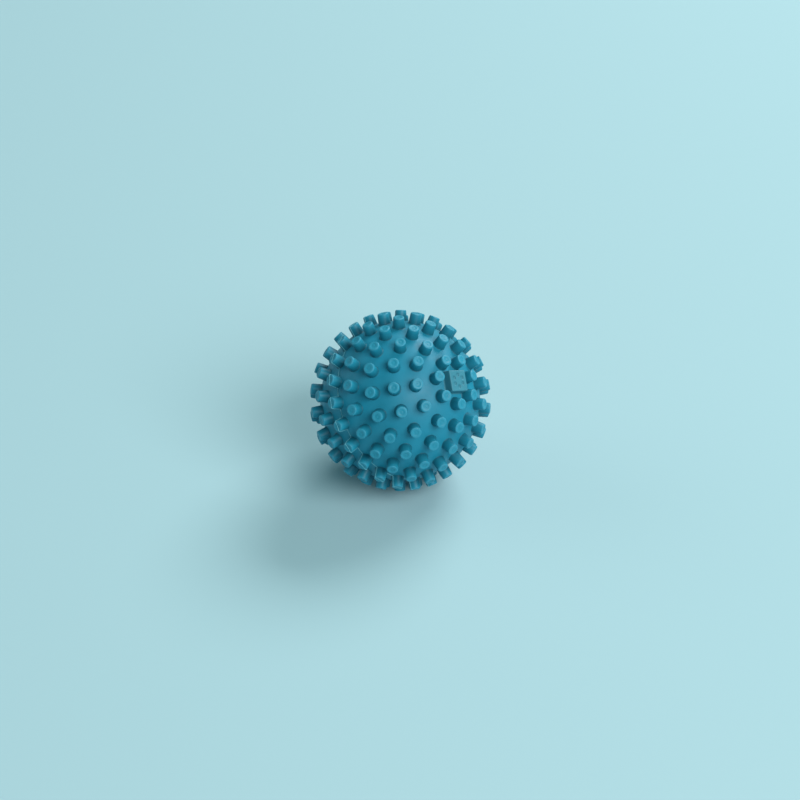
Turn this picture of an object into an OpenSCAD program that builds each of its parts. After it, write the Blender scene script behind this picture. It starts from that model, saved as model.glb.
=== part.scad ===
// Spiky massage ball: a hollow ball made of two welded half shells.
// Rings of round studs cover it, a square badge block marks one pole and an
// air valve with a pull-out plug closes the other.
//
// Units are millimetres, +Z is up and the origin is the centre of the ball.
// Every sub-part is drawn about the moulding axis, with the badge pole up, and
// resting() then turns it to the way the ball lies: on the tips of three studs,
// which is a stable rest, with the badge facing up and to the front right.

/* [Ball] */
// Diameter over the faces of two opposite studs
ball_d = 90; // [84:1:100]
// Wall thickness of the two half shells
wall = 3; // [2.5:0.1:4]
// How far the tongue of the front shell reaches into the back shell
lap_h = 2; // [1:0.1:3]

/* [Studs] */
// Height of a stud above the core sphere
stud_h = 5.3; // [4.5:0.1:7]
// Diameter of a stud where it leaves its foot
stud_d = 6.1; // [5:0.1:6.4]
// Diameter that a stud loses from its foot to its face
stud_draft = 0.6; // [0:0.05:1]
// Size of the bevel round the face of a stud
stud_bevel = 0.6; // [0.2:0.05:1]
// Size of the flare round the foot of a stud
stud_flare = 0.3; // [0.2:0.05:0.5]

/* [Seam] */
// How far the weld flash stands out of the core and the studs
flash_h = 0.3; // [0.2:0.05:0.5]
// Width of the weld flash
flash_w = 0.5; // [0.3:0.05:0.8]

/* [Badge] */
// Side of the square badge block
badge_w = 10.6; // [9:0.1:11]
// Radius of the badge block's upright corners
badge_corner = 0.8; // [0.3:0.1:2]
// How far the badge face lies below the stud faces
badge_drop = 1.2; // [0.5:0.1:2]
// Number of dimples in the badge's plain mark
mark_dimples = 6; // [4:1:8]

/* [Valve] */
// Diameter of the bore that the plug closes
bore_d = 3; // [2:0.1:4]
// Length of the valve seat, from its collar face to its inner end
seat_len = 12; // [9:0.5:16]
// Thickness of the seat's collar on the outside of the ball
collar_h = 1; // [0.6:0.1:1.6]
// Thickness of the plug's head
head_h = 1.6; // [1:0.1:2.4]

/* [Lie of the ball] */
// Lean of the moulding axis from upright
axis_tilt = 54; // [0:1:90]
// Compass direction that the badge leans to, from +X towards +Y
heading = -37; // [-180:1:180]
// Turn of the ball about its own moulding axis
spin = 153; // [-180:1:180]

/* [Hidden] */
// Studs in each ring from the badge pole to the equator, then mirrored
HALF_COUNTS = [7, 12, 16, 20, 22, 24];
EQUATOR = len(HALF_COUNTS);
RING_PITCH = 90 / EQUATOR;

tip_r = ball_d / 2;
core_r = tip_r - stud_h;
inner_r = core_r - wall;
foot_r = stud_d / 2;
face_r = foot_r - stud_draft / 2;

// The tongue fills the inner half of the wall
tongue_r = inner_r + wall / 2;
tongue_gap = 0.05;
// A cut or a joined piece runs this far past the face that it meets
past = 1;

badge_face = tip_r - badge_drop;
mark_ring_r = 0.27 * badge_w;
dimple_r = 0.1 * badge_w;
dimple_depth = 0.6;

bore_r = bore_d / 2;
plug_gap = 0.05;
neck_r = bore_r + 2.2;
collar_r = neck_r + 1.3;
flange_r = neck_r + 1.6;
flange_h = 1.6;
head_r = collar_r - 0.6;
lip_h = 0.5;
collar_face = core_r + collar_h;
seat_end = collar_face - seat_len;
plug_taper = 1.5;

shell_blue = [0.13, 0.49, 0.61];
stud_blue = [0.17, 0.55, 0.67];
badge_blue = [0.28, 0.58, 0.68];
valve_blue = [0.10, 0.38, 0.48];

$fn = 96;

function mirrored(ring) = ring > EQUATOR ? 2 * EQUATOR - ring : ring;
function studs_in(ring) = HALF_COUNTS[mirrored(ring) - 1];
// The rings start on one meridian, but the rings next to the poles start half a step on
function ring_start(ring) = mirrored(ring) == 1 ? 180 / studs_in(ring) : 0;

// Turns a sub-part from the moulding axis to the way the ball lies
module resting() {
    rotate([0, axis_tilt, heading])
        rotate([0, 0, spin])
            children();
}

// Half of the hollow core on the +Z side of the seam
module half_core() {
    difference() {
        sphere(core_r);
        sphere(inner_r);
        translate([-tip_r, -tip_r, -2 * tip_r])
            cube(2 * tip_r);
    }
}

// A ring about the moulding axis between two radii and two heights
module band(outer, inner, low, high) {
    difference() {
        translate([0, 0, low])
            cylinder(r = outer, h = high - low);
        translate([0, 0, low - past])
            cylinder(r = inner, h = high - low + 2 * past);
    }
}

// Shell on the badge side, with a tongue on its rim
module front_half_shell() {
    color(shell_blue)
        resting() {
            half_core();
            band(tongue_r, inner_r, -lap_h, past);
        }
}

// Shell on the valve side, rebated for the tongue and bored for the valve seat
module back_half_shell() {
    color(shell_blue)
        resting()
            mirror([0, 0, 1])
                difference() {
                    half_core();
                    translate([0, 0, -past])
                        cylinder(r = tongue_r + tongue_gap, h = lap_h + tongue_gap + past);
                    cylinder(r = neck_r, h = tip_r);
                }
}

// Outline of one stud from its axis outwards, grown all round by skin
function stud_outline(skin) = [
    [0, inner_r],
    [foot_r + stud_flare + skin, inner_r],
    [foot_r + stud_flare + skin, core_r],
    [foot_r + skin, core_r + stud_flare + skin],
    [face_r + skin, tip_r - stud_bevel],
    [face_r - stud_bevel / 4 + skin, tip_r - stud_bevel / 4 + skin / 2],
    [face_r - stud_bevel + skin / 2, tip_r + skin],
    [0, tip_r + skin]
];

module stud_body(skin = 0) {
    rotate_extrude()
        polygon(stud_outline(skin));
}

module on_ring(ring) {
    step = 360 / studs_in(ring);
    for (i = [0 : studs_in(ring) - 1])
        rotate([0, ring * RING_PITCH, ring_start(ring) + i * step])
            children();
}

// One ring of studs, each one standing on the core sphere
module stud_ring(ring) {
    color(stud_blue)
        resting()
            on_ring(ring)
                difference() {
                    stud_body();
                    sphere(core_r);
                }
}

// Weld flash: a thin fin round the equator that climbs over the studs there
module seam_flash() {
    color(stud_blue)
        resting()
            difference() {
                intersection() {
                    translate([0, 0, -flash_w / 2])
                        cylinder(r = tip_r + past, h = flash_w);
                    union() {
                        sphere(core_r + flash_h);
                        on_ring(EQUATOR) stud_body(flash_h);
                    }
                }
                sphere(core_r);
                on_ring(EQUATOR) stud_body();
            }
}

// Square outline with rounded corners
module rounded_square(side, corner) {
    inset = side - 2 * corner;
    square([inset, side], center = true);
    square([side, inset], center = true);
    for (x = [-inset / 2, inset / 2])
        for (y = [-inset / 2, inset / 2])
            translate([x, y])
                circle(corner);
}

// Raised block with a plain mark: a ring of shallow dimples
module badge_block() {
    dimple_ball = (dimple_r * dimple_r + dimple_depth * dimple_depth) / (2 * dimple_depth);
    color(badge_blue)
        resting()
            difference() {
                translate([0, 0, inner_r])
                    linear_extrude(badge_face - inner_r)
                        rounded_square(badge_w, badge_corner);
                sphere(core_r);
                for (i = [0 : mark_dimples - 1])
                    rotate([0, 0, i * 360 / mark_dimples])
                        translate([mark_ring_r, 0, badge_face - dimple_depth + dimple_ball])
                            sphere(dimple_ball);
                // The feet of the nearest studs pass two corners of the block
                on_ring(1) stud_body();
            }
}

// Rubber seat: a collar outside, a neck through the wall and a flange inside
module valve_seat() {
    color(valve_blue)
        resting()
            mirror([0, 0, 1])
                difference() {
                    union() {
                        difference() {
                            translate([0, 0, inner_r])
                                cylinder(r = collar_r, h = collar_face - inner_r);
                            sphere(core_r);
                        }
                        translate([0, 0, seat_end])
                            cylinder(r = neck_r, h = seat_len);
                        intersection() {
                            translate([0, 0, inner_r - flange_h])
                                cylinder(r = flange_r, h = flange_h + past);
                            sphere(inner_r);
                        }
                    }
                    translate([0, 0, seat_end - past])
                        cylinder(r = bore_r, h = seat_len + 2 * past);
                }
}

// Pull-out plug: a low head with a nail lip and a stem with a tapered end
module valve_plug() {
    stem_r = bore_r - plug_gap;
    color(stud_blue)
        resting()
            mirror([0, 0, 1]) {
                translate([0, 0, collar_face])
                    cylinder(r = head_r - lip_h, h = head_h);
                translate([0, 0, collar_face + lip_h])
                    cylinder(r = head_r, h = head_h - lip_h);
                translate([0, 0, seat_end])
                    cylinder(r = stem_r, h = seat_len + past);
                translate([0, 0, seat_end - plug_taper])
                    cylinder(r1 = stem_r / 2, r2 = stem_r, h = plug_taper);
            }
}

front_half_shell();
back_half_shell();
seam_flash();
badge_block();
stud_ring(1);  // stud_ring_1
stud_ring(2);  // stud_ring_2
stud_ring(3);  // stud_ring_3
stud_ring(4);  // stud_ring_4
stud_ring(5);  // stud_ring_5
stud_ring(6);  // stud_ring_6
stud_ring(7);  // stud_ring_7
stud_ring(8);  // stud_ring_8
stud_ring(9);  // stud_ring_9
stud_ring(10);  // stud_ring_10
stud_ring(11);  // stud_ring_11
valve_seat();
valve_plug();
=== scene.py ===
"""Looks of a spiky massage ball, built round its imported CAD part.

Each moulded piece is meshed here with the details that the plain CAD solids leave out: filleted stud feet,
rounded rims, dished stud faces, a weld flash that climbs over the equator's studs, a rounded badge block
and a finished valve. Everything is in metres, in the row frame of the part, with its origin at the ball's centre.
"""

import math
import random

import bmesh
import bpy
import numpy as np
from mathutils import Matrix, Vector, noise


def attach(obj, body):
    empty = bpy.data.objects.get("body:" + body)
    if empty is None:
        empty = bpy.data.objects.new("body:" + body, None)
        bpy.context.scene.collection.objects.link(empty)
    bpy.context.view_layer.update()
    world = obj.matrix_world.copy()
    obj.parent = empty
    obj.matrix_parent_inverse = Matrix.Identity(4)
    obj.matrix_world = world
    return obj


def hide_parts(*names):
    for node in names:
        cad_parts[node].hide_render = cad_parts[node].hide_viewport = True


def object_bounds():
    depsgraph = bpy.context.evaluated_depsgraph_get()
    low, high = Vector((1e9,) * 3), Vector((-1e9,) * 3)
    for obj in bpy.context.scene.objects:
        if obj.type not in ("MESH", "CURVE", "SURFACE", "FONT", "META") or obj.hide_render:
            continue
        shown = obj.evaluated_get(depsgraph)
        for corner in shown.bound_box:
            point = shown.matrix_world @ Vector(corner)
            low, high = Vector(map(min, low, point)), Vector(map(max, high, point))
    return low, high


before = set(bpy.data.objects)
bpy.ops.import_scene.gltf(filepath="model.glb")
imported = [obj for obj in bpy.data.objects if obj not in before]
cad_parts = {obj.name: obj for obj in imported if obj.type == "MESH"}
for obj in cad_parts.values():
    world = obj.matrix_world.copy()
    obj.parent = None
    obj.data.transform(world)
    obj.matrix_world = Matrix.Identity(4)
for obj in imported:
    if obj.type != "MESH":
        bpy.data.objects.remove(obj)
cad_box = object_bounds()

MM = 0.001

# Driving sizes of the ball, which the CAD part shares
TIP_R = 45 * MM
STUD_H = 5.3 * MM
WALL = 3 * MM
LAP_H = 2 * MM
CORE_R = TIP_R - STUD_H
INNER_R = CORE_R - WALL
TONGUE_R = INNER_R + WALL / 2
TONGUE_GAP = 0.05 * MM

# Studs in each ring from the badge pole to the equator, then mirrored
HALF_COUNTS = [7, 12, 16, 20, 22, 24]
EQUATOR = len(HALF_COUNTS)
RING_PITCH = math.radians(90 / EQUATOR)

# How the ball lies: the moulding axis leans over and the ball is turned about it
RESTING = (
    Matrix.Rotation(math.radians(-37), 3, "Z")
    @ Matrix.Rotation(math.radians(54), 3, "Y")
    @ Matrix.Rotation(math.radians(153), 3, "Z")
)

rng = random.Random(7)


# ---------------------------------------------------------------- mesh tools


def arc(centre, radius, start, end, steps):
    """Points of an arc in the (r, z) plane, with angles in degrees."""
    angles = np.radians(np.linspace(start, end, steps + 1))
    return [(centre[0] + radius * math.cos(a), centre[1] + radius * math.sin(a)) for a in angles]


def lathe(profile, segments, closed=False):
    """Vertices and faces of a profile of (r, z) points turned about +Z.

    An end at r = 0 becomes a pole. A closed profile goes round a hole and has no poles.
    """
    verts, rows, faces = [], [], []
    for r, z in profile:
        if r < 1e-9:
            rows.append([len(verts)] * segments)
            verts.append((0.0, 0.0, z))
            continue
        rows.append(range(len(verts), len(verts) + segments))
        for i in range(segments):
            turn = 2 * math.pi * i / segments
            verts.append((r * math.cos(turn), r * math.sin(turn), z))
    pairs = list(zip(rows, rows[1:]))
    if closed:
        pairs.append((rows[-1], rows[0]))
    for low, high in pairs:
        for i in range(segments):
            j = (i + 1) % segments
            corners = dict.fromkeys((low[i], low[j], high[j], high[i]))
            faces.append(tuple(corners))
    return np.array(verts), faces


def point_values(profile, segments, values):
    """One value for each vertex that lathe makes, from one value for each profile point."""
    spread = []
    for (r, _), value in zip(profile, values):
        spread += [value] * (1 if r < 1e-9 else segments)
    return np.array(spread)


def make_piece(name, verts, faces, material, body, node, wear_and_painted_light=None):
    """A closed, smooth piece from mould-frame vertices, turned to the way the ball lies."""
    turned = verts @ np.array(RESTING).T
    mesh = bpy.data.meshes.new(name)
    mesh.from_pydata(turned.tolist(), [], faces)
    if wear_and_painted_light is None:
        wear_and_painted_light = np.zeros(len(verts))
    # Per-vertex tone for the material: above 0 rub wear and a painted highlight on edges, below 0 painted shade
    # in creases.
    mesh.attributes.new("wear_and_painted_light", "FLOAT", "POINT").data.foreach_set("value", wear_and_painted_light.astype(np.float32))
    shape = bmesh.new()
    shape.from_mesh(mesh)
    bmesh.ops.recalc_face_normals(shape, faces=shape.faces)
    shape.to_mesh(mesh)
    shape.free()
    mesh.shade_smooth()
    mesh.materials.append(material)
    piece = bpy.data.objects.new(name, mesh)
    bpy.context.scene.collection.objects.link(piece)
    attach(piece, body)
    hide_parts(node)
    return piece


# ---------------------------------------------------------------- materials

PLASTIC_IOR = 1.46
PLASTIC_SPECULAR = 0.40
# Noise cells per metre of the cloudy colour, the patchy gloss, the orange peel and the fine grain
CLOUD_SCALE = 55
GLOSS_SCALE = 420
PEEL_SCALE = 650
GRAIN_SCALE = 4200
PEEL_DEPTH = 0.05 * MM
GRAIN_DEPTH = 0.015 * MM


def plastic(name, base, rough, grain=1.0):
    """Satin moulded plastic: faint cloudy colour, orange peel and a fine grain.

    The per-vertex tone attribute turns it paler above 0, as rub wear and a painted highlight on rounded edges. It
    turns it darker below 0, as painted shade in the creases round the stud feet.
    """
    material = bpy.data.materials.new(name)
    material.use_nodes = True
    tree = material.node_tree
    nodes, links = tree.nodes, tree.links
    shader = nodes["Principled BSDF"]
    shader.inputs["IOR"].default_value = PLASTIC_IOR
    shader.inputs["Specular IOR Level"].default_value = PLASTIC_SPECULAR
    place = nodes.new("ShaderNodeTexCoord").outputs["Object"]

    def cloud(scale, detail=3.0, rough_detail=0.5):
        texture = nodes.new("ShaderNodeTexNoise")
        texture.inputs["Scale"].default_value = scale
        texture.inputs["Detail"].default_value = detail
        texture.inputs["Roughness"].default_value = rough_detail
        links.new(place, texture.inputs["Vector"])
        return texture.outputs["Fac"]

    def remap(value, low, high):
        spread = nodes.new("ShaderNodeMapRange")
        spread.inputs["From Min"].default_value = 0.3
        spread.inputs["From Max"].default_value = 0.7
        spread.inputs["To Min"].default_value = low
        spread.inputs["To Max"].default_value = high
        links.new(value, spread.inputs["Value"])
        return spread.outputs["Result"]

    def mixed(factor, first, second):
        mix = nodes.new("ShaderNodeMix")
        mix.data_type = "RGBA"
        for socket, value in (("A", first), ("B", second)):
            target = [i for i in mix.inputs if i.name == socket and i.type == "RGBA"][0]
            if isinstance(value, tuple):
                target.default_value = (*value, 1.0)
            else:
                links.new(value, target)
        links.new(factor, mix.inputs["Factor"])
        return [o for o in mix.outputs if o.type == "RGBA"][0]

    def shade(colour, factor):
        return tuple(min(1.0, c * factor) for c in colour)

    clouds = mixed(remap(cloud(CLOUD_SCALE), 0.0, 1.0), shade(base, 0.90), shade(base, 1.10))
    # Paler above 0: rub wear on edges together with a painted highlight where rounded edges catch the light.
    wear_and_painted_light = nodes.new("ShaderNodeAttribute")
    wear_and_painted_light.attribute_name = "wear_and_painted_light"
    paler = tuple(c * 1.12 + 0.018 for c in base)
    worn_and_highlit = mixed(wear_and_painted_light.outputs["Fac"], clouds, paler)
    # Darker below 0, towards 0.45 of the base: painted shade in the creases round the stud feet.
    painted_shade = nodes.new("ShaderNodeMath")
    painted_shade.operation = "MULTIPLY"
    painted_shade.inputs[1].default_value = -1.0
    links.new(wear_and_painted_light.outputs["Fac"], painted_shade.inputs[0])
    with_painted_shade = mixed(painted_shade.outputs["Value"], worn_and_highlit, shade(base, 0.45))
    links.new(with_painted_shade, shader.inputs["Base Color"])
    gloss = remap(cloud(GLOSS_SCALE, 5.0, 0.6), rough - 0.06, rough + 0.08)
    links.new(gloss, shader.inputs["Roughness"])

    peel = nodes.new("ShaderNodeBump")
    peel.inputs["Strength"].default_value = 0.35 * grain
    peel.inputs["Distance"].default_value = PEEL_DEPTH
    links.new(cloud(PEEL_SCALE, 2.0), peel.inputs["Height"])
    fine = nodes.new("ShaderNodeBump")
    fine.inputs["Strength"].default_value = 0.30 * grain
    fine.inputs["Distance"].default_value = GRAIN_DEPTH
    links.new(cloud(GRAIN_SCALE, 2.0), fine.inputs["Height"])
    links.new(peel.outputs["Normal"], fine.inputs["Normal"])
    links.new(fine.outputs["Normal"], shader.inputs["Normal"])
    return material


def floor_material():
    """Plain matt floor in the pale blue of the backdrop."""
    material = bpy.data.materials.new("pale_floor")
    material.use_nodes = True
    shader = material.node_tree.nodes["Principled BSDF"]
    shader.inputs["Base Color"].default_value = (0.416, 0.616, 0.656, 1.0)
    shader.inputs["Roughness"].default_value = 0.9
    shader.inputs["Specular IOR Level"].default_value = 0.1
    return material


SHELL_LOOK = plastic("shell_plastic", (0.012, 0.240, 0.356), 0.50)
STUD_LOOK = plastic("stud_plastic", (0.012, 0.242, 0.350), 0.46)
# Paler than the shell: partly a painted highlight along the raised bead, partly paler flash plastic.
SEAM_LOOK = plastic("seam_plastic", (0.095, 0.375, 0.450), 0.42, 0.5)
BADGE_LOOK = plastic("badge_plastic", (0.034, 0.212, 0.282), 0.52, 1.6)
RUBBER_LOOK = plastic("valve_rubber", (0.012, 0.120, 0.180), 0.62, 1.4)
PLUG_LOOK = plastic("plug_plastic", (0.022, 0.220, 0.320), 0.42)


# ---------------------------------------------------------------- half shells

SHELL_SEGMENTS = 192
# Height of the core's slow swells, and their noise cells per metre
RIPPLE = 0.025 * MM
RIPPLE_SCALE = 90.0
# Bevel on the edges of the rims where the half shells meet
RIM_BEVEL = 0.12 * MM
# The shells stop this many degrees short of the seam's plane
RIM_START = 0.3
VALVE_BORE_R = 1.5 * MM
VALVE_NECK_R = VALVE_BORE_R + 2.2 * MM


def rippled(verts):
    """Moulded skin isn't perfectly round: low, slow swells that bend the highlights."""
    out = []
    for v in verts:
        swell = noise.noise(Vector(v) * RIPPLE_SCALE)
        out.append(np.array(v) * (1 + RIPPLE * swell / CORE_R))
    return np.array(out)


def front_shell_profile():
    """From the outer pole over the rim, down the tongue and back along the inside."""
    rim = RIM_BEVEL
    outer = arc((0, 0), CORE_R, 90, RIM_START, 72)
    step = [(CORE_R - rim, 0), (TONGUE_R + rim, 0), (TONGUE_R, -rim), (TONGUE_R, -LAP_H + rim)]
    tip = [(TONGUE_R - rim, -LAP_H), (INNER_R + rim, -LAP_H), (INNER_R, -LAP_H + rim)]
    return outer + step + tip + arc((0, 0), INNER_R, 0, 90, 24)


def back_shell_profile():
    """Closed outline round the wall, from the rebated rim to the valve's hole."""
    rim = RIM_BEVEL
    hole_outside = math.degrees(math.acos(VALVE_NECK_R / CORE_R))
    hole_inside = math.degrees(math.acos(VALVE_NECK_R / INNER_R))
    outer = arc((0, 0), CORE_R, hole_outside, RIM_START, 66)
    rebate = TONGUE_R + TONGUE_GAP
    step = [(CORE_R - rim, 0), (rebate + rim, 0), (rebate, rim), (rebate, LAP_H), (INNER_R, LAP_H)]
    return outer + step + arc((0, 0), INNER_R, 4, hole_inside, 22)


def build_shells():
    verts, faces = lathe(front_shell_profile(), SHELL_SEGMENTS)
    make_piece(
        "front_shell_moulding", rippled(verts), faces, SHELL_LOOK, "ball", "front_half_shell"
    )
    verts, faces = lathe(back_shell_profile(), SHELL_SEGMENTS, closed=True)
    verts[:, 2] *= -1
    make_piece(
        "back_shell_moulding", rippled(verts), faces, SHELL_LOOK, "ball", "back_half_shell"
    )


# ---------------------------------------------------------------- studs

STUD_SEGMENTS = 40
# The edge of a foot sinks this far into the core, so that no gap shows
SINK = 0.02 * MM
# A stud or the badge reaches this far down into the wall
ROOT = 0.8 * MM
FOOT_R = 3.05 * MM
FACE_R = 2.75 * MM
FOOT_FILLET = 0.35 * MM
EDGE_ROUND = 0.6 * MM
RIM_INNER_R = 1.6 * MM
DISH_R = 1.25 * MM
DISH_DEPTH = 0.14 * MM
DISH_LIP_W = 0.12 * MM
DISH_LIP_H = 0.03 * MM
PIP_FOOT_W = 0.15 * MM
PIP_R = 0.35 * MM
PIP_H = 0.08 * MM
# Scatter of the studs' lean, in degrees, and of their height, as a share of it
LEAN_SPREAD = 0.35
HEIGHT_SPREAD = 0.0008


def core_height(r):
    """Height of the core sphere above the ball's centre plane, r from the axis."""
    return math.sqrt(CORE_R**2 - r**2)


def stud_skin():
    """The visible outline of a stud as (r, z, tone), from the edge of its foot to the middle of its face."""
    foot_edge = FOOT_R + FOOT_FILLET
    foot_z = core_height(foot_edge) - SINK
    dish_z = TIP_R - DISH_DEPTH
    fillet = arc((foot_edge, foot_z + FOOT_FILLET), FOOT_FILLET, 270, 180, 6)
    wall_low, wall_high = foot_z + FOOT_FILLET, TIP_R - EDGE_ROUND
    wall = [(FOOT_R + (FACE_R - FOOT_R) * t, wall_low + (wall_high - wall_low) * t) for t in (0.35, 0.7)]
    edge = arc((FACE_R - EDGE_ROUND, wall_high), EDGE_ROUND, 0, 90, 6)
    lip = [(RIM_INNER_R, TIP_R), (RIM_INNER_R - DISH_LIP_W, TIP_R - DISH_LIP_H)]
    dish = [(DISH_R, dish_z), (PIP_R + PIP_FOOT_W, dish_z)]
    pip = [(PIP_R, dish_z + PIP_H / 2), (PIP_R / 2, dish_z + PIP_H), (0, dish_z + PIP_H)]
    outline = []
    # Tones below 0 are painted shade in the crease of the foot fillet and up the lower wall. Above 0 on the
    # rounded edge and lip they are a painted highlight mixed with rub wear. The dish and pip are a little paler.
    for points, wear_and_light_values in (
        (fillet, [-0.8] * 7),
        (wall, [-0.5, -0.2]),
        (edge, [0.2, 0.5, 0.9, 1.0, 1.0, 0.9, 0.8]),
        (lip, [0.8, 0.6]),
        (dish, [0.3, 0.3]),
        (pip, [0.4, 0.4, 0.4]),
    ):
        outline += [(r, z, wear_and_painted_light) for (r, z), wear_and_painted_light in zip(points, wear_and_light_values, strict=True)]
    return outline


def ring_places(ring):
    """Polar angle and azimuths of one ring's studs. The rings next to the poles start half a step on."""
    mirrored = min(ring, 2 * EQUATOR - ring)
    count = HALF_COUNTS[mirrored - 1]
    start = math.pi / count if mirrored == 1 else 0.0
    return ring * RING_PITCH, [start + 2 * math.pi * i / count for i in range(count)]


def build_stud_rings():
    skin = stud_skin()
    foot_edge, foot_z, _ = skin[0]
    root = [(0, foot_z - ROOT, 0.0), (foot_edge, foot_z - ROOT, 0.0)]
    outline = root + skin
    profile = [(r, z) for r, z, _ in outline]
    verts, faces = lathe(profile, STUD_SEGMENTS)
    # Tone per vertex: painted shade at the foot, painted highlight with rub wear at the edge.
    wear_and_painted_light = point_values(profile, STUD_SEGMENTS, [w for _, _, w in outline])
    for ring in range(1, 2 * EQUATOR):
        polar, azimuths = ring_places(ring)
        ring_verts, ring_faces = [], []
        for azimuth in azimuths:
            lean = Matrix.Rotation(math.radians(rng.gauss(0, LEAN_SPREAD)), 3, "X")
            lean @= Matrix.Rotation(math.radians(rng.gauss(0, LEAN_SPREAD)), 3, "Y")
            height = 1 + rng.gauss(0, HEIGHT_SPREAD)
            place = Matrix.Rotation(azimuth, 3, "Z") @ Matrix.Rotation(polar, 3, "Y")
            foot = np.array([0, 0, CORE_R])
            leaning = (verts * [1, 1, height] - foot) @ np.array(lean).T + foot
            first = sum(len(v) for v in ring_verts)
            ring_verts.append(leaning @ np.array(place).T)
            ring_faces += [tuple(first + i for i in face) for face in faces]
        make_piece(
            f"stud_ring_{ring}_moulding",
            np.concatenate(ring_verts),
            ring_faces,
            STUD_LOOK,
            "ball",
            f"stud_ring_{ring}",
            np.tile(wear_and_painted_light, len(azimuths)),
        )


# ---------------------------------------------------------------- weld flash

FLASH_H = 0.24 * MM
FLASH_HALF_W = 0.15 * MM
FLASH_SPACING = 0.28 * MM
FLASH_SIDES = 8
# Noise cells per metre of the flash's height, how far the height varies, and how far the bead wanders
FLASH_NOISE = 700.0
FLASH_UNEVEN = 0.25
FLASH_DRIFT = 0.06 * MM
# Paler tone over the whole bead: partly a painted highlight for light the raised bead catches, partly paler flash
# plastic.
FLASH_HIGHLIGHT_AND_PALENESS = 0.6


def flash_path():
    """Closed path in the equator plane: along the core between studs and over each stud's outline."""
    half = [(r, z) for r, z, _ in stud_skin()]
    over = [(-r, z) for r, z in half] + [(r, z) for r, z in reversed(half[:-1])]
    _, azimuths = ring_places(EQUATOR)
    step = 2 * math.pi / len(azimuths)
    foot = math.atan2(half[0][0], half[0][1])
    path = []
    for azimuth in azimuths:
        for across, height in over:
            turn = azimuth + math.atan2(across, height)
            reach = math.hypot(across, height)
            path.append((reach * math.cos(turn), reach * math.sin(turn)))
        for t in np.linspace(0, 1, 8)[1:-1]:
            turn = azimuth + foot + t * (step - 2 * foot)
            path.append((CORE_R * math.cos(turn), CORE_R * math.sin(turn)))
    return np.array(path)


def evenly(path, spacing):
    """The same closed path with points spacing apart."""
    loop = np.vstack([path, path[:1]])
    lengths = np.concatenate([[0], np.cumsum(np.linalg.norm(np.diff(loop, axis=0), axis=1))])
    count = int(lengths[-1] / spacing)
    marks = np.arange(count) * lengths[-1] / count
    return np.column_stack([np.interp(marks, lengths, loop[:, k]) for k in (0, 1)])


def build_flash():
    path = evenly(flash_path(), FLASH_SPACING)
    ahead, behind = np.roll(path, -1, axis=0), np.roll(path, 1, axis=0)
    along = ahead - behind
    along /= np.linalg.norm(along, axis=1)[:, None]
    outward = np.column_stack([along[:, 1], -along[:, 0]])
    verts = []
    for point, out in zip(path, outward):
        here = Vector((*point, 0.0)) * FLASH_NOISE
        height = FLASH_H * (1 + FLASH_UNEVEN * noise.noise(here))
        drift = FLASH_DRIFT * noise.noise(here * 0.35 + Vector((0, 0, 9)))
        for side in range(FLASH_SIDES):
            angle = 2 * math.pi * side / FLASH_SIDES
            x, y = point + out * height * math.cos(angle)
            verts.append((x, y, drift + FLASH_HALF_W * math.sin(angle)))
    faces = []
    for i in range(len(path)):
        here, after = i * FLASH_SIDES, (i + 1) % len(path) * FLASH_SIDES
        for side in range(FLASH_SIDES):
            other = (side + 1) % FLASH_SIDES
            faces.append((here + side, here + other, after + other, after + side))
    make_piece(
        "seam_flash_bead", np.array(verts), faces, SEAM_LOOK, "ball", "seam_flash",
        np.ones(len(verts)) * FLASH_HIGHLIGHT_AND_PALENESS,
    )


# ---------------------------------------------------------------- badge block

BADGE_W = 10.6 * MM
BADGE_CORNER = 0.7 * MM
BADGE_FACE = TIP_R - 1.2 * MM
BADGE_EDGE = 0.55 * MM
BADGE_FILLET = 0.6 * MM
BADGE_DRAFT = 0.12 * MM
MARK_RING_R = 0.27 * BADGE_W
DIMPLE_R = 0.1 * BADGE_W
DIMPLE_DEPTH = 0.6 * MM
DIMPLES = 6
BADGE_WEAR = 0.35
# Rows of faces from the badge's rounded edge in to its middle
BADGE_ROWS = 44


def badge_outline():
    """Points of the rounded square with their outward directions."""
    flat = BADGE_W / 2 - BADGE_CORNER
    points = []
    for quarter in range(4):
        base = quarter * 90
        turn = Matrix.Rotation(math.radians(base), 2)
        for t in np.linspace(-1, 1, 26)[:-1]:
            points.append((turn @ Vector((BADGE_W / 2, flat * t)), turn @ Vector((1, 0))))
        for angle in np.linspace(0, 90, 8)[:-1]:
            ray = Vector((math.cos(math.radians(angle)), math.sin(math.radians(angle))))
            points.append((turn @ (Vector((flat, flat)) + ray * BADGE_CORNER), turn @ ray))
    return points


def mark_depth(x, y):
    """Depth of the plain mark, a ring of round dimples, below the badge face."""
    nearest = round(math.atan2(y, x) / (2 * math.pi / DIMPLES)) * 2 * math.pi / DIMPLES
    away = math.hypot(x - MARK_RING_R * math.cos(nearest), y - MARK_RING_R * math.sin(nearest))
    return DIMPLE_DEPTH * (1 - (away / DIMPLE_R) ** 4) if away < DIMPLE_R else 0.0


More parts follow.
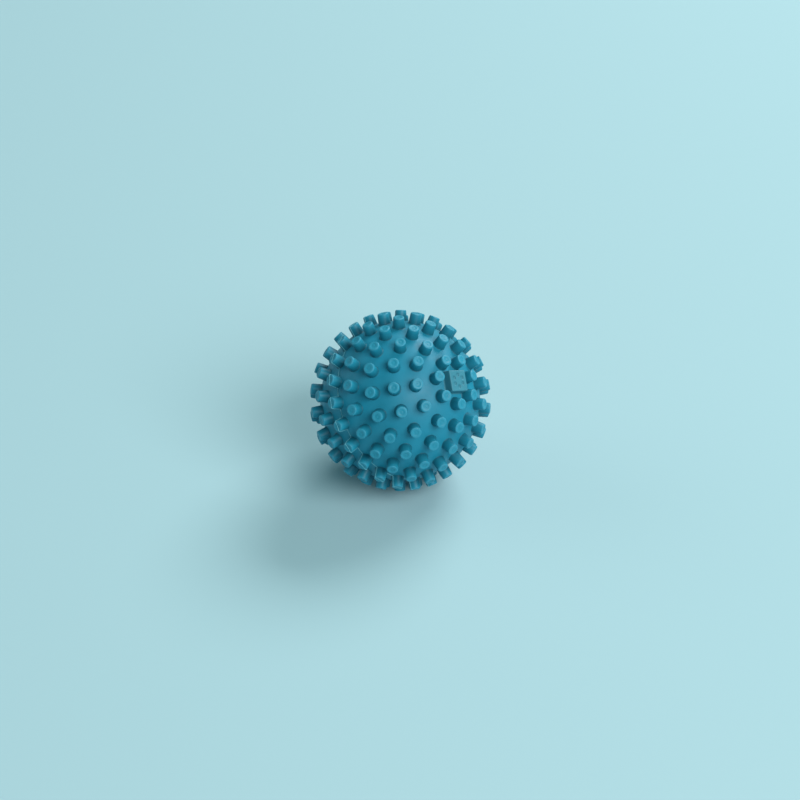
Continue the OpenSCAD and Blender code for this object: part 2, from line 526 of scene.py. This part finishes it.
def build_badge():
    outline = badge_outline()
    count = len(outline)
    # Each level is its offset from the outline, its height or None, its height above the core, and its tone,
    # which rises over the rounded top edge as a painted highlight with some rub wear
    levels = [(BADGE_FILLET, None, -ROOT, 0.0)]
    for a in np.radians(np.linspace(0, 90, 6)):
        levels.append((BADGE_FILLET * (1 - math.sin(a)), None, BADGE_FILLET * (1 - math.cos(a)), 0.2))
    for b in np.radians(np.linspace(0, 90, 6)):
        inset = BADGE_DRAFT + BADGE_EDGE * (1 - math.cos(b))
        levels.append((-inset, BADGE_FACE - BADGE_EDGE * (1 - math.sin(b)), 0.0, 0.3 + 0.5 * math.sin(b)))
    verts, wear_and_painted_light = [], []
    for offset, height, above_core, worn_and_highlit in levels:
        for point, outward in outline:
            x, y = point + outward * offset
            z = height if height is not None else core_height(math.hypot(x, y)) - SINK + above_core
            verts.append((x, y, z))
            wear_and_painted_light.append(worn_and_highlit)
    rows = len(levels)
    for k in range(1, BADGE_ROWS):
        size = 1 - k / BADGE_ROWS
        for point, outward in outline:
            x, y = (point - outward * (BADGE_DRAFT + BADGE_EDGE)) * size
            verts.append((x, y, BADGE_FACE - mark_depth(x, y)))
            wear_and_painted_light.append(BADGE_WEAR)
        rows += 1
    faces = []
    for row in range(rows - 1):
        for i in range(count):
            j = (i + 1) % count
            low, high = row * count, (row + 1) * count
            faces.append((low + i, low + j, high + j, high + i))
    middle = len(verts)
    verts += [(0, 0, BADGE_FACE), (0, 0, TONGUE_R)]
    wear_and_painted_light += [BADGE_WEAR, 0.0]
    top = (rows - 1) * count
    for i in range(count):
        j = (i + 1) % count
        faces.append((top + i, top + j, middle))
        faces.append((j, i, middle + 1))
    make_piece(
        "badge_block_moulding", np.array(verts), faces, BADGE_LOOK, "ball", "badge_block",
        np.array(wear_and_painted_light),
    )


# ---------------------------------------------------------------- valve

VALVE_SEGMENTS = 64
COLLAR_R = VALVE_NECK_R + 1.3 * MM
COLLAR_FACE = CORE_R + 1 * MM
FLANGE_R = VALVE_NECK_R + 1.6 * MM
FLANGE_H = 1.6 * MM
SEAT_END = COLLAR_FACE - 12 * MM
HEAD_R = COLLAR_R - 0.6 * MM
HEAD_H = 1.6 * MM
LIP_H = 0.5 * MM
PLUG_TAPER = 1.5 * MM


def seat_profile():
    """Closed outline from the collar's face out, in through the wall and back up the bore."""
    soft = 0.3 * MM
    collar = [(VALVE_BORE_R + soft, COLLAR_FACE)]
    collar += arc((COLLAR_R - soft, COLLAR_FACE - soft), soft, 90, 0, 5)
    collar += [(COLLAR_R, core_height(COLLAR_R) - 0.1 * MM), (VALVE_NECK_R, core_height(VALVE_NECK_R))]
    inside = math.sqrt(INNER_R**2 - VALVE_NECK_R**2)
    flange_top = math.sqrt(INNER_R**2 - FLANGE_R**2)
    flange_low = INNER_R - FLANGE_H
    flange = [(VALVE_NECK_R, inside), (FLANGE_R, flange_top)]
    flange += [(FLANGE_R, flange_low), (VALVE_NECK_R, flange_low)]
    tube = arc((VALVE_NECK_R - soft, SEAT_END + soft), soft, 0, -90, 4)
    bore = [(VALVE_BORE_R, SEAT_END), (VALVE_BORE_R, COLLAR_FACE - soft)]
    return collar + flange + tube + bore


def plug_profile():
    """From the middle of the stem's end up to the domed head."""
    stem = VALVE_BORE_R - 0.05 * MM
    soft = 0.35 * MM
    crown = COLLAR_FACE + HEAD_H
    end = [(0, SEAT_END - PLUG_TAPER), (stem / 2, SEAT_END - PLUG_TAPER)]
    shank = [(stem, SEAT_END), (stem, COLLAR_FACE), (HEAD_R - LIP_H, COLLAR_FACE)]
    lip = [(HEAD_R - LIP_H, COLLAR_FACE + LIP_H), (HEAD_R - 0.1 * MM, COLLAR_FACE + LIP_H)]
    rim = [(HEAD_R, COLLAR_FACE + LIP_H + 0.1 * MM)] + arc((HEAD_R - soft, crown - soft), soft, 0, 80, 5)
    dished = [(HEAD_R * 0.62, crown), (HEAD_R * 0.5, crown - 0.15 * MM), (0, crown - 0.2 * MM)]
    return end + shank + lip + rim + dished


def build_valve():
    for name, profile, closed, look, body, slot, node in (
        ("valve_seat_rubber", seat_profile(), True, RUBBER_LOOK, "ball", "valve_rubber", "valve_seat"),
        ("valve_plug_moulding", plug_profile(), False, PLUG_LOOK, "plug", "plug", "valve_plug"),
    ):
        verts, faces = lathe(profile, VALVE_SEGMENTS, closed)
        verts[:, 2] *= -1
        make_piece(name, verts, faces, look, body, node)


# ---------------------------------------------------------------- stage, light and camera

FLOOR_R = 8.0


def build_stage():
    floor_z = cad_box[0][2]
    mesh = bpy.data.meshes.new("floor")
    shape = bmesh.new()
    bmesh.ops.create_circle(shape, cap_ends=True, segments=96, radius=FLOOR_R)
    shape.to_mesh(mesh)
    shape.free()
    floor = bpy.data.objects.new("floor", mesh)
    floor.location.z = floor_z
    mesh.materials.append(floor_material())
    bpy.context.scene.collection.objects.link(floor)


def softbox(name, place, width, depth, power):
    """An elliptical soft light that faces the ball."""
    lamp = bpy.data.lights.new(name, "AREA")
    lamp.shape = "ELLIPSE"
    lamp.size = width
    lamp.size_y = depth
    lamp.energy = power
    light = bpy.data.objects.new(name, lamp)
    light.location = place
    light.rotation_euler = (-Vector(place)).to_track_quat("-Z", "Y").to_euler()
    bpy.context.scene.collection.objects.link(light)


def build_lights():
    softbox("key_softbox", (1.50, -1.90, 1.90), 2.60, 1.90, 82)
    softbox("back_softbox", (1.30, 1.65, 1.85), 2.00, 1.20, 56)
    softbox("fill_softbox", (-2.30, 0.60, 1.10), 2.00, 2.00, 9)
    world = bpy.data.worlds.new("studio")
    world.use_nodes = True
    ground = world.node_tree.nodes["Background"]
    ground.inputs["Color"].default_value = (0.35, 0.92, 1.0, 1.0)
    ground.inputs["Strength"].default_value = 0.19
    bpy.context.scene.world = world


CAMERA_RISE = math.radians(34.66)
CAMERA_SIDE = math.radians(-0.33)
CAMERA_ROLL = math.radians(-1.12)
CAMERA_AWAY = 1.105
AIM = Vector((-0.0001, 0.0, 0.0003))
LENS_MM = 100
SENSOR_MM = 36


def build_camera():
    """Camera that looks along +Y and down at the ball, with a small roll."""
    back = Vector(
        (
            math.cos(CAMERA_RISE) * math.sin(CAMERA_SIDE),
            -math.cos(CAMERA_RISE) * math.cos(CAMERA_SIDE),
            math.sin(CAMERA_RISE),
        )
    )
    level = Vector((0, 0, 1)).cross(back).normalized()
    upright = back.cross(level)
    right = level * math.cos(CAMERA_ROLL) + upright * math.sin(CAMERA_ROLL)
    up = back.cross(right)
    lens = bpy.data.cameras.new("camera")
    lens.lens = LENS_MM
    lens.sensor_width = SENSOR_MM
    camera = bpy.data.objects.new("camera", lens)
    turn = Matrix((right, up, back)).transposed().to_4x4()
    camera.matrix_world = Matrix.Translation(AIM + back * CAMERA_AWAY) @ turn
    bpy.context.scene.collection.objects.link(camera)
    bpy.context.scene.camera = camera


build_shells()
build_stud_rings()
build_flash()
build_badge()
build_valve()
build_stage()
build_lights()
build_camera()
bpy.context.scene.view_settings.view_transform = "Standard"
